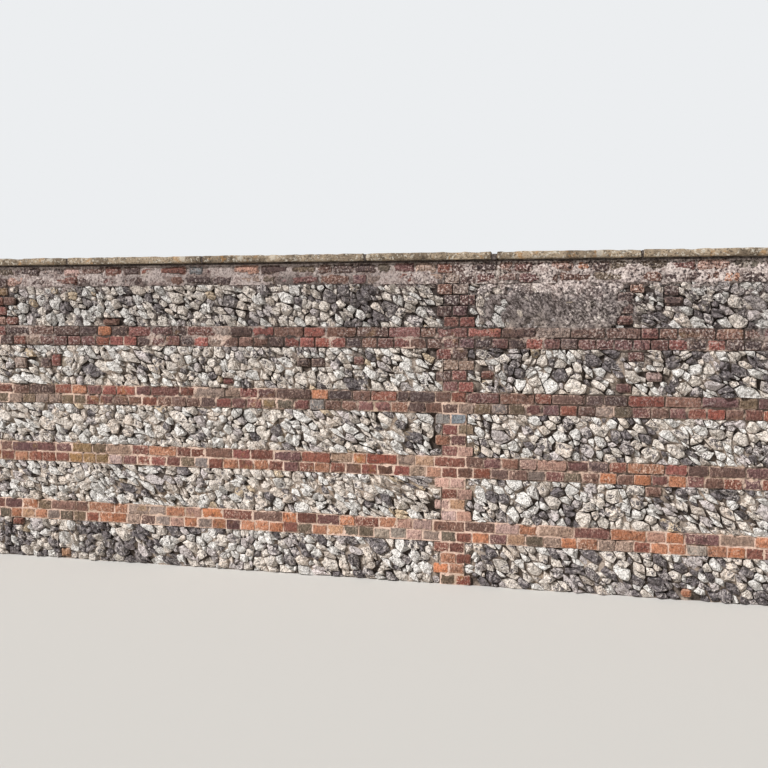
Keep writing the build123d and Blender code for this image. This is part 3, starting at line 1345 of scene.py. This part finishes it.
@dataclass
class FlintPanel:
    """One panel of flints between two courses of brick, crowned on both faces."""

    bay: int
    band: int
    materials: Materials
    bed: float = 0.027  # how far the mortar lies behind the panel's face
    lime: Colour = dye(190, 174, 160)
    stretch: float = 1.06  # the stones are wider than high
    lean: float = -0.66  # how much the stones lean over, run to rise
    sizes: tuple[tuple[float, float], ...] = ((0.043, 0.058), (0.029, 0.042), (0.017, 0.027))
    shares: tuple[float, ...] = (0.09, 0.49, 0.42)  # of the stones, by size
    spacing: float = 0.75  # how close stones lie, in sums of their radii
    tries: int = 60
    fillers: int = 1300  # tries at small stones in what is left open
    filler: float = 0.008  # the least room that takes one
    lap: float = 0.0035  # how far stones reach into the joints above and below
    margin: float = 0.003  # how far they stay from the panel's ends and from the ground
    neighbours: int = 23  # how many of them bound a stone's room
    least: float = 0.011  # radius of the smallest room that takes a stone
    recess: float = 0.026  # radius of the stone in each of a pier's recesses
    beside: float = 0.022  # radius of the stones beside a brick
    lobed: float = 0.032  # radius from which a stone may have two lobes
    plain_share: float = 0.65  # share of those that have one lobe all the same
    facet: float = 0.0085  # size from which a facet is hollowed

    def __post_init__(self) -> None:
        """Works out where the panel lies."""
        self.first = (self.band - 1) * (FLINT_COURSES + LACING_COURSES)
        self.low = self.first * COURSE
        self.high = self.low + FLINT_COURSES * COURSE
        self.left, self.right = bay_span(self.bay)
        self.rng = np.random.default_rng(100 + 10 * self.band + self.bay)
        self.lean = STEEP.get((self.bay, self.band), self.lean)
        dark = 2 if self.band == BANDS else 1
        self.mix = FLINT_MIXES[dark if self.bay == 1 or self.band == 1 else 0]

    def build(self) -> bpy.types.Object:
        """Lays the stones on both faces and the mortar between them."""
        stock = Stock()
        bounds = (self.left, self.right, self.low, self.high)
        step = 0.015 if self.band == BANDS and self.bay == 1 else 0.024
        MortarCore(*bounds, step, self.level, self.dirt_and_shade, self.lime, 0.009).lay(stock)
        for side in Side:
            placed = [p for p in PLACED if side is Side.FRONT and self.low < p.v < self.high]
            placed = [p for p in placed if self.left < p.u < self.right]
            bricks = [p for p in placed if isinstance(p.tone, BrickTone)]
            for cell, tone in self._cells(placed, bricks):
                self._flint(stock, cell, side, tone)
            layer = Bricklayer(stock, self.rng, wear=0.010)
            for p in bricks:
                face = float(band_surface(np.array([p.v]), self.low)[0]) - 0.002
                layer.lay(p.u, p.v, p.length - 0.006, p.height - 0.004, side, p.tone, face)
        name = f"flint_panel_{BAY_NAMES[self.bay]}_{self.band}"
        return stock.piece(f"stone_{name}", (name,), self.materials, "flint_and_mortar", 30.0)

    def level(self, u: Grid, v: Grid, side: Side) -> Grid:
        """Depth of the mortar between the stones.

        Args:
            u: Places along the wall.
            v: Their heights.
            side: Face of the wall.

        Returns:
            Depths outward from the middle of the wall.
        """
        face = band_surface(v, self.low)
        near = np.minimum(np.minimum(v - self.low, self.high - v), np.minimum(u - self.left, self.right - u))
        fillet = np.clip(1 - near / 0.014, 0, 1) * (0.012 + 0.005 * Swell(0.12, 43 + self.band).at(u, v * 0))
        bed = face - self.bed + self._flush(u, v) + fillet
        smeared = face - 0.003 + 0.004 * Swell(0.11, 33).at(u, v) + 0.003 * Swell(0.05, 34).at(u, v)
        return bed + (np.maximum(smeared, bed) - bed) * smear_cover(u, v, side)

    def dirt_and_shade(self, u: Grid, v: Grid, side: Side) -> Grid:
        """How dark the mortar between the stones is painted: dirt, and painted shade where it lies deep."""
        return np.clip(0.75 - 55 * self._flush(u, v), 0.35, 1.0) * (1 - smear_cover(u, v, side))

    def _flush(self, u: Grid, v: Grid) -> Grid:
        """How far the mortar swells out of its bed, nearly to the stones' faces in some patches."""
        waves = 0.005 * Swell(0.30, 31 + self.band).at(u, v) + 0.004 * Swell(0.09, 32).at(u, v)
        return np.clip(waves, -0.008, 0.005)

    def _cells(self, placed: list[Placed], bricks: list[Placed]) -> list[tuple[Cell, Optional[FlintTone]]]:
        """Shares one face of the panel out among its stones.

        Args:
            placed: Bricks and stones that are listed.
            bricks: The bricks among them, whose room is kept free.

        Returns:
            The room of each stone, and its tone where that is given.
        """
        fixed = self._fixed(placed)
        sites, radii = self._sites(fixed, bricks)
        obstacles = [Patch(p.u, p.v, p.length / 2 + 0.002, p.height / 2 + 0.002) for p in bricks]
        obstacles += self._teeth()
        found = []
        for i, (x, y) in enumerate(sites):
            reach = 2.4 * radii[i]
            polygon = [(x + a * reach, y + b * reach) for a, b in CORNERS]
            away = np.hypot(*(sites - sites[i]).T)
            for j in np.argsort(away)[1:self.neighbours + 1]:
                if away[j] > reach + 0.2:
                    break
                normal = (sites[j] - sites[i]) / away[j]
                middle = (away[j] ** 2 + radii[i] ** 2 - radii[j] ** 2) / (2 * away[j])
                polygon = clip(polygon, *normal, normal @ sites[i] + middle)
            polygon = clip(polygon, 0.0, -1.0, -max(self.low - self.lap, self.margin))
            polygon = clip(polygon, 0.0, 1.0, self.high + self.lap)
            if len(polygon) < 3:
                continue
            polygon = clip(self._lean(np.array(polygon)), -1.0, 0.0, -(self.left + self.margin))
            polygon = clip(polygon, 1.0, 0.0, self.right - self.margin)
            cell = self._cell(self._make_way(polygon, obstacles))
            if cell is not None and cell.size() > self.least:
                found.append((cell, fixed[i][3] if i < len(fixed) else None))
        return found

    def _rows(self) -> list[tuple[float, float, float]]:
        """The middle height of each of the panel's courses, and X of its two ends."""
        courses = range(self.first, self.first + FLINT_COURSES)
        return [(course_middle(course), *course_ends(self.bay, course)) for course in courses]

    def _teeth(self) -> list[Patch]:
        """The pier bricks that stand into the panel at every other course."""
        found = []
        for middle, left, right in self._rows():
            for a, b in ((self.left, left), (right, self.right)):
                if b > a + 0.001:
                    found.append(Patch((a + b) / 2, middle, (b - a) / 2 + 0.003, COURSE / 2))
        return found

    def _fixed(self, placed: list[Placed]) -> Fixed:
        """Stones whose places are given: in a pier's recesses, round a brick and those listed.

        Args:
            placed: Bricks and stones that are listed.

        Returns:
            The place, the radius and, if given, the tone of each.
        """
        found: Fixed = []
        for middle, left, right in self._rows():
            if left < self.left + 0.001:
                found.append((self.left + self.recess, middle, self.recess, None))
            if right > self.right - 0.001:
                found.append((self.right - self.recess, middle, self.recess, None))
        for p in placed:
            if isinstance(p.tone, FlintTone):
                found.append((p.u, p.v, (p.length + p.height) / 4, p.tone))
                continue
            a, b = p.length / 2 + self.beside, p.height / 2 + 0.020
            around = ((-a, 0.012), (a, -0.012), (-0.024, b), (0.026, b), (-0.026, -b), (0.024, -b))
            around = [(p.u + u, p.v + v) for u, v in around]
            found += [(u, v, self.beside, None) for u, v in around if self.low < v < self.high]
        return found

    def _lean(self, corners: Grid) -> Polygon:
        """Leans and bends places on the face, as the stones lean.

        Args:
            corners: Places as they were shared out.

        Returns:
            The places where they end up.
        """
        x, y = corners[:, 0], corners[:, 1]
        middle = (self.low + self.high) / 2
        slack = np.clip(1 - np.abs(y - middle) / (middle - self.low), 0, 1) ** 0.5
        slope = self.lean * (1 + 0.6 * Swell(0.9, 61 + self.band).at(x, y * 0))
        u = x * self.stretch + slope * (y - middle) + 0.010 * slack * Swell(0.16, 62 + self.bay).at(x, y)
        v = y + 0.010 * slack * Swell(0.15, 63 + self.band).at(x, y)
        return list(zip(u.tolist(), v.tolist()))

    def _upright(self, u: float, v: float) -> Grid:
        """The place that the lean brings to a given place, found by coming nearer to it."""
        spot = np.array((u / self.stretch, v))
        for _ in range(8):
            now_u, now_v = self._lean(spot[None, :])[0]
            spot = spot + np.array(((u - now_u) / self.stretch, v - now_v))
        return spot

    def _taken(self, spot: Grid, bricks: list[Placed], reach: float) -> bool:
        """Whether a stone of some reach would land on a brick."""
        u, v = self._lean(spot[None, :])[0]
        return any(
            abs(u - p.u) < p.length / 2 + reach and abs(v - p.v) < p.height / 2 + reach for p in bricks
        )

    def _sites(self, fixed: Fixed, bricks: list[Placed]) -> tuple[Grid, Grid]:
        """Throws stones of mixed sizes at the face, the large ones first.

        Args:
            fixed: Stones whose places are given.
            bricks: Listed bricks, which no stone lands on.

        Returns:
            Their middles, with lengths drawn in by the stretch, and their radii.
        """
        rng = self.rng
        left, right = (self.left - 0.06) / self.stretch, (self.right + 0.06) / self.stretch
        area = (right - left) * (self.high - self.low)
        wanted: list[float] = []
        while sum(math.pi * r * r for r in wanted) < 1.06 * area:
            wanted.append(rng.uniform(*self.sizes[int(rng.choice(len(self.sizes), p=self.shares))]))
        sites = np.array([self._upright(u, v) for u, v, _, _ in fixed]).reshape(-1, 2)
        radii = np.array([radius for _, _, radius, _ in fixed])

        def throw(margin: float) -> tuple[Grid, Grid]:
            """A random place, so far from the panel's top and foot, and its distances to the others."""
            spot = np.array((rng.uniform(left, right), rng.uniform(self.low + margin, self.high - margin)))
            return spot, np.hypot(*(sites - spot).T)

        for radius in sorted(wanted, reverse=True):
            for _ in range(self.tries):
                spot, away = throw(0.5 * radius)
                if (away < self.spacing * (radii + radius)).any() or self._taken(spot, bricks, 0.7 * radius):
                    continue
                sites, radii = np.vstack([sites, spot]), np.append(radii, radius)
                break
        for _ in range(self.fillers):
            spot, away = throw(self.filler)
            room = float((away - radii).min())
            if room > self.filler and not self._taken(spot, bricks, 0.01):
                sites, radii = np.vstack([sites, spot]), np.append(radii, min(room + 0.004, 0.03))
        return sites, radii

    def _make_way(self, polygon: Polygon, obstacles: list[Patch]) -> Polygon:
        """Keeps a stone's room clear of the bricks beside it.

        Args:
            polygon: Corners of the room.
            obstacles: What stays clear.

        Returns:
            What is left of the room; nothing where it is taken.
        """
        if len(polygon) < 3:
            return []
        near = 0.15  # a brick further off is out of a stone's reach
        middle_u, middle_v = np.mean(polygon, axis=0)
        for o in obstacles:
            du, dv = middle_u - o.u, middle_v - o.v
            over_u, over_v = abs(du) - o.half_length, abs(dv) - o.half_height
            if over_u > near or over_v > near:
                continue
            if over_u < 0 and over_v < 0:
                return []
            if over_u > over_v:
                sign = math.copysign(1.0, du)
                if min(abs(v - o.v) for _, v in polygon) < o.half_height:
                    polygon = clip(polygon, -sign, 0.0, -sign * (o.u + sign * o.half_length))
            else:
                sign = math.copysign(1.0, dv)
                if min(abs(u - o.u) for u, _ in polygon) < o.half_length:
                    polygon = clip(polygon, 0.0, -sign, -sign * (o.v + sign * o.half_height))
            if len(polygon) < 3:
                return []
        return polygon

    def _cell(self, polygon: Polygon) -> Optional[Cell]:
        """Turns a room's corners into directions and distances of its sides.

        Args:
            polygon: Corners, anticlockwise.

        Returns:
            The room, or nothing where it is too small.
        """
        if len(polygon) < 3:
            return None
        corners = np.array(polygon)
        following = np.roll(corners, -1, axis=0)
        cross = corners[:, 0] * following[:, 1] - following[:, 0] * corners[:, 1]
        area = cross.sum() / 2
        if area < 3e-4:
            return None
        middle = ((corners + following) * cross[:, None]).sum(0) / (6 * area)
        run = following - corners
        size = np.hypot(*run.T)
        keep = size > 1e-5
        normal = np.column_stack([run[keep, 1], -run[keep, 0]]) / size[keep, None]
        reaches = ((corners[keep] - middle) * normal).sum(1)
        bearings, turns = (np.arctan2(way[:, 1], way[:, 0]) for way in (corners - middle, normal))
        return Cell(float(middle[0]), float(middle[1]), bearings, turns, reaches)

    def _flint(self, stock: Stock, cell: Cell, side: Side, tone: Optional[FlintTone]) -> None:
        """Chooses one flint's colour and form, with one lobe or two.

        Args:
            stock: Takes its mesh.
            cell: Its room.
            side: Face of the wall.
            tone: Its colour, or a random one.
        """
        rng = self.rng
        if tone is None:
            gloomy = any(p.cover(cell.u, cell.v) > 0 for p in DARK_SPOTS if p.side is side)
            tone = CHARCOAL if gloomy and rng.uniform() < 0.5 else draw(self.mix, rng)
        colour, bare = tone.value
        light = min(math.exp(rng.normal(0, 0.12)), 0.95 / colour[0])
        tint = tuple(part * light for part in colour[:3]) + (1.0,)
        bare = float(np.clip(bare + 0.03 * self.bay + rng.normal(-0.1, 0.16), -0.1, 0.9))
        lift = float(np.clip(rng.normal(0.001, 0.009), -0.015, 0.015))
        if smear_cover(np.array([cell.u]), np.array([cell.v]), side)[0] > 0.2:
            lift = min(lift, -0.006) - 0.006
        stone = Stone(cell, side, tint, bare, rng.uniform())
        if cell.size() < self.lobed or rng.uniform() < self.plain_share:
            self._lobe(stock, stone, lift, np.zeros(2), 0.0)
            return
        turn = rng.uniform(0, math.pi)
        heading = np.array([math.cos(turn), math.sin(turn)])
        split = rng.uniform(0.30, 0.46)
        for way in (-1, 1):
            off = heading * cell.size() * way * (split - 0.04)
            self._lobe(stock, stone, lift + rng.normal(0, 0.004), off, split)

    def _lobe(self, stock: Stock, stone: Stone, lift: float, off: Grid, split: float) -> None:
        """Shapes a broken lump with flat facets between sharp edges.

        Args:
            stock: Takes its mesh.
            stone: The flint that it belongs to.
            lift: How far it stands out of the panel's face.
            off: How far it lies off the middle of the flint's room.
            split: How much narrower than the room it is along that way.
        """
        rng, cell = self.rng, stone.cell
        size = cell.size()
        grade = 2 if size < 0.024 else 1 if size < 0.040 or split > 0 else 0
        waist, shoulder, top = FLINT_POINTS[grade]
        tall = 0.040 + 0.30 * min(size, 0.06)
        lift = min(lift, 0.016)
        base = tall - lift - self.bed
        seen = tall - base
        turns = cell.bearings(waist, rng)
        ring = cell.outline(turns, rng.uniform(14, 40), rng.uniform(-0.0030, 0.0025) + 0.0003 * self.bay)
        upper = np.sort(rng.uniform(0, 2 * math.pi, shoulder))
        crown = rng.uniform(0, 2 * math.pi, top)
        around = np.concatenate([turns[::2], turns, upper, crown])
        share = np.concatenate([
            np.full(len(turns[::2]), 0.90), np.clip(rng.normal(0.94, 0.09, len(turns)), 0.66, 1.03),
            rng.uniform(0.66, 0.94, shoulder), rng.uniform(0.08, 0.60, top),
        ])
        bands = ((0.05, 0.55, len(turns)), (0.70, 0.98, shoulder), (0.88, 1.06, top))
        rises = [base + seen * rng.uniform(*band) for band in bands]
        rise = np.concatenate([np.zeros(len(turns[::2]))] + rises)
        far = share * cell.outline(around, 20.0, 0.001)
        outer = np.concatenate([ring[::2], ring])
        far[:len(outer)] = share[:len(outer)] * outer
        peak = np.clip(rng.normal(0, 0.22 * size, 2), -0.4 * size, 0.4 * size)
        flat = np.column_stack([far * np.cos(around), far * np.sin(around)]) + peak * (1 - share[:, None])
        tilt = rng.normal(0, 0.20, 2)
        rise = rise + (flat @ tilt) * (rise > base + 0.5 * seen)
        if split > 0:
            heading = off / np.linalg.norm(off)
            flat = flat + off - split * np.outer(flat @ heading, heading)
        surface = band_surface(np.array([cell.v]), self.low)[0]
        points = np.column_stack([flat, rise])
        points, faces, hollow = flake(points, skin(points), base, self.facet, rng)
        # 1 at the stone's foot by the mortar, where the finish paints shade with dirt
        edge = np.clip(1 - (points[:, 2] - base) / (0.011 + 0.002 * self.bay), 0, 1)
        core = np.clip(stone.bare + 0.2 * hollow + rng.normal(0, 0.14, len(points)), 0, 1)
        low, high = max(self.low - self.lap, 0.001), self.high + self.lap
        stock.lay(
            cell.u + points[:, 0], np.clip(cell.v + points[:, 1], low, high),
            np.minimum(surface + lift - tall + points[:, 2], OUTMOST), faces, stone.side, Stuff.FLINT,
            stone.tint, edge, core, stone.luck,
        )


# Coping


@dataclass
class CopingSlab:
    """One slab of the coping, its arrises worn and chipped."""

    number: int
    materials: Materials
    arris: float = 0.008
    step: float = 0.03
    end_wear: float = 0.005  # how much more its ends are worn
    wide_joint: float = 0.026  # how much of one slab's end has broken away
    broken_number: int = 4

    def build(self) -> bpy.types.Object:
        """Runs the slab's worn section along it."""
        node = f"coping_slab_{self.number}"
        low, high = (np.array(corner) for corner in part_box(node))
        rng = np.random.default_rng(500 + self.number)
        if self.number == self.broken_number:
            high[0] -= self.wide_joint
        stations = np.linspace(low[0], high[0], max(4, round((high[0] - low[0]) / self.step)) + 1)
        stations = np.insert(stations, [1, len(stations) - 1], [low[0] + 0.006, high[0] - 0.006])
        section, at_arris = self._section(low, high)
        around, last = len(section), len(stations) - 1
        middle = np.array([(low[1] + high[1]) / 2, (low[2] + high[2]) / 2])
        chips = np.zeros(len(stations))
        for _ in range(max(2, round(3 * (high[0] - low[0])))):
            spot, reach = rng.uniform(low[0], high[0]), rng.uniform(0.02, 0.07)
            near = np.clip(1 - np.abs(stations - spot) / reach, 0, 1)
            chips = np.maximum(chips, rng.uniform(0.003, 0.011) * near)
        points = []
        for index, x in enumerate(stations):
            waves = Swell(0.14, 41 + self.number).at(np.full(around, x) + section[:, 0], section[:, 1])
            worn = 0.0012 + 0.0012 * (1 + waves) + np.abs(rng.normal(0, 0.0011, around))
            worn = worn + at_arris * (chips[index] + abs(rng.normal(0, 0.0012)))
            if index in (0, last):
                worn = worn + self.end_wear
            away = section - middle
            pull = np.sign(away) * np.minimum(np.abs(away), worn[:, None])
            ring = section - pull * np.array([1.0, 0.8])
            ends = rng.normal(0, 0.002) if 0 < index < last else 0.0
            inward = np.clip(rng.normal(0.002, 0.0015, around), 0, 0.006)
            shift = {0: inward, last: -inward}.get(index, np.full(around, ends))
            points.append(np.column_stack([x + shift, ring]))
        corners = np.concatenate(points)
        faces = [tuple(range(around))]
        for a in range(0, last * around, around):
            b = a + around
            faces += [(a + (j + 1) % around, a + j, b + j, b + (j + 1) % around) for j in range(around)]
        faces.append(tuple(last * around + j for j in reversed(range(around))))
        edge = np.tile(at_arris, len(stations))
        stock = Stock()
        stock.lay(*corners[:, (0, 2)].T, -corners[:, 1], tuple(faces), Side.FRONT, Stuff.MORTAR, edge=edge)
        return stock.piece(f"worn_{node}", (node,), self.materials, "coping_stone", 50.0)

    def _section(self, low: Grid, high: Grid) -> tuple[Grid, Grid]:
        """The slab's section, round the wall's length.

        Args:
            low: Lowest corner of the slab.
            high: Highest corner.

        Returns:
            Y and Z of its corners, and how much of each is arris.
        """
        r = self.arris
        y0, y1, z0, z1 = low[1], high[1], low[2], high[2]
        waist = z0 + 0.4 * (z1 - z0)
        points = [(y, z0, 0.0) for y in np.linspace(y0 + 0.004, y1 - 0.004, 9)]
        points += [(y1, z0 + 0.004, 0.6), (y1, waist, 0.2), (y1, z1 - r, 0.8)]
        points += [(y1 - 0.3 * r, z1 - 0.3 * r, 1.0)]
        across = np.linspace(y1 - r, y0 + r, 11)
        points += [(y, z1, 0.8 if i in (0, 10) else 0.0) for i, y in enumerate(across)]
        points += [(y0 + 0.3 * r, z1 - 0.3 * r, 1.0)]
        points += [(y0, z1 - r, 0.8), (y0, waist, 0.2), (y0, z0 + 0.004, 0.6)]
        found = np.array(points)
        return found[:, :2], found[:, 2]


@dataclass
class CopingBed:
    """The mortar that the coping lies on, and in the joints between its slabs."""

    materials: Materials
    edge: float = 0.155  # how far out the bed reaches
    joint_edge: float = 0.189  # how far out the mortar in the joints reaches

    def build(self) -> bpy.types.Object:
        """Lays the bed under the slabs and fills their joints."""
        low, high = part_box("coping_bed")
        slabs = [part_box(f"coping_slab_{number}") for number in range(1, SLABS + 1)]
        under = slabs[0][0].z
        stock = Stock()
        MortarCore(low.x, high.x, low.z, under, 0.03, self.level, self.dirt_and_shade).lay(stock)
        for number, ((_, before), (after, _)) in enumerate(zip(slabs, slabs[1:]), 1):
            broken = CopingSlab.wide_joint if number == CopingSlab.broken_number else 0.0
            top = high.z - 0.4 * broken
            MortarCore(before.x - broken, after.x, under, top, 0.008, self.joint, self.dirt_and_shade).lay(stock)
        return stock.piece("bed_under_coping", ("coping_bed",), self.materials, "lime_mortar")

    def level(self, u: Grid, v: Grid, side: Side) -> Grid:
        """Depth of the bed's ragged edge."""
        return self.edge + 0.003 * Swell(0.12, 51 + int(side.value)).at(u, v)

    def joint(self, u: Grid, v: Grid, side: Side) -> Grid:
        """Depth of the mortar in the slabs' joints."""
        return self.joint_edge + 0.0015 * Swell(0.03, 53 + int(side.value)).at(u, v)

    def dirt_and_shade(self, u: Grid, v: Grid, side: Side) -> Grid:
        """How dark that mortar is painted: dirt and painted shade under the coping and in the slabs' joints.
        """
        return np.full_like(u, 0.8)


# Setting


@dataclass
class Viewpoint:
    """The camera, standing where the wall was seen from."""

    place: tuple[float, float, float] = (0.543, -5.487, 1.573)
    turn: float = -11.09
    tilt: float = -1.86
    roll: float = 0.69
    lens: float = 36.0

    def build(self) -> None:
        """Makes the camera and gives it to the scene."""
        turn, tilt, roll = (math.radians(a) for a in (self.turn, self.tilt, self.roll))
        ahead = Vector((math.sin(turn) * math.cos(tilt), math.cos(turn) * math.cos(tilt), math.sin(tilt)))
        right = Vector((math.cos(turn), -math.sin(turn), 0.0))
        up = right.cross(ahead)
        cos, sin = math.cos(roll), math.sin(roll)
        right, up = cos * right + sin * up, -sin * right + cos * up
        data = bpy.data.cameras.new("viewpoint")
        data.lens = self.lens
        data.sensor_width = 36.0
        data.clip_end = 200.0
        camera = add("viewpoint", data)
        turned = Matrix((right, up, -ahead)).transposed().to_4x4()
        camera.matrix_world = Matrix.Translation(self.place) @ turned
        bpy.context.scene.camera = camera


@dataclass
class Studio:
    """A pale floor, a pale surround and one broad lamp from the upper left."""

    floor_size: float = 60.0
    floor_colour: Colour = dye(204, 201, 196)
    surround: Colour = dye(236, 238, 240)
    fill: float = 0.29
    key: float = 4.3
    key_spread: float = 5.0
    key_heading: tuple[float, float, float] = (0.56, 0.54, -0.63)

    def build(self) -> None:
        """Lays the floor, which isn't part of the wall, and sets the lights."""
        half = self.floor_size / 2
        mesh = bpy.data.meshes.new("floor")
        corners = [(a * half, b * half, 0) for a, b in CORNERS]
        mesh.from_pydata(corners, [], [(0, 1, 2, 3)])
        mesh.materials.append(Surface("pale_floor").finish(self.floor_colour, 0.95, gleam=0.1))
        floor = add("floor", mesh)
        data = bpy.data.lights.new("key", "SUN")
        data.energy = self.key
        data.angle = math.radians(self.key_spread)
        add("key", data).rotation_euler = Vector(self.key_heading).to_track_quat("-Z", "Y").to_euler()
        self._world()

    def _world(self) -> None:
        """The surround: plain light on the wall, pale behind it."""
        world = bpy.data.worlds.new("surround")
        nodes = Nodes(world)
        fill = nodes.node("ShaderNodeBackground", {0: (1.0, 1.0, 1.0, 1.0), 1: self.fill})
        seen = nodes.node("ShaderNodeBackground", {0: self.surround, 1: 1.0})
        path = "ShaderNodeLightPath"
        shown = nodes.node(path, {}, "Is Camera Ray").most(nodes.node(path, {}, "Is Glossy Ray"))
        mixed = nodes.node("ShaderNodeMixShader", {0: shown, 1: fill, 2: seen})
        nodes.end("ShaderNodeOutputWorld", mixed)
        bpy.context.scene.world = world


def main() -> None:
    """Builds the wall from the ground up, then the camera, the floor and the lights."""
    logging.basicConfig(level=logging.INFO, format="%(name)s %(message)s", stream=sys.stdout)
    bpy.context.scene.view_settings.view_transform = "Standard"
    wall = tuple(finish().material() for finish in (MortarFinish, BrickFinish, FlintFinish))
    coping = (CopingFinish().material(),)
    pieces = [Pier(i, wall).build() for i in range(len(PIER_CENTRES))]
    for bay in range(len(BAY_NAMES)):
        for kind in (FlintPanel, Courses):
            pieces += [kind(bay, band, wall).build() for band in range(1, BANDS + 1)]
    pieces.append(CopingBed(wall).build())
    pieces += [CopingSlab(number, coping).build() for number in range(1, SLABS + 1)]
    Viewpoint().build()
    Studio().build()
    total = sum(len(p.vertices) - 2 for piece in pieces for p in piece.data.polygons)
    log.info("%d pieces, %d triangles", len(pieces), total)


if __name__ == "__main__":
    main()
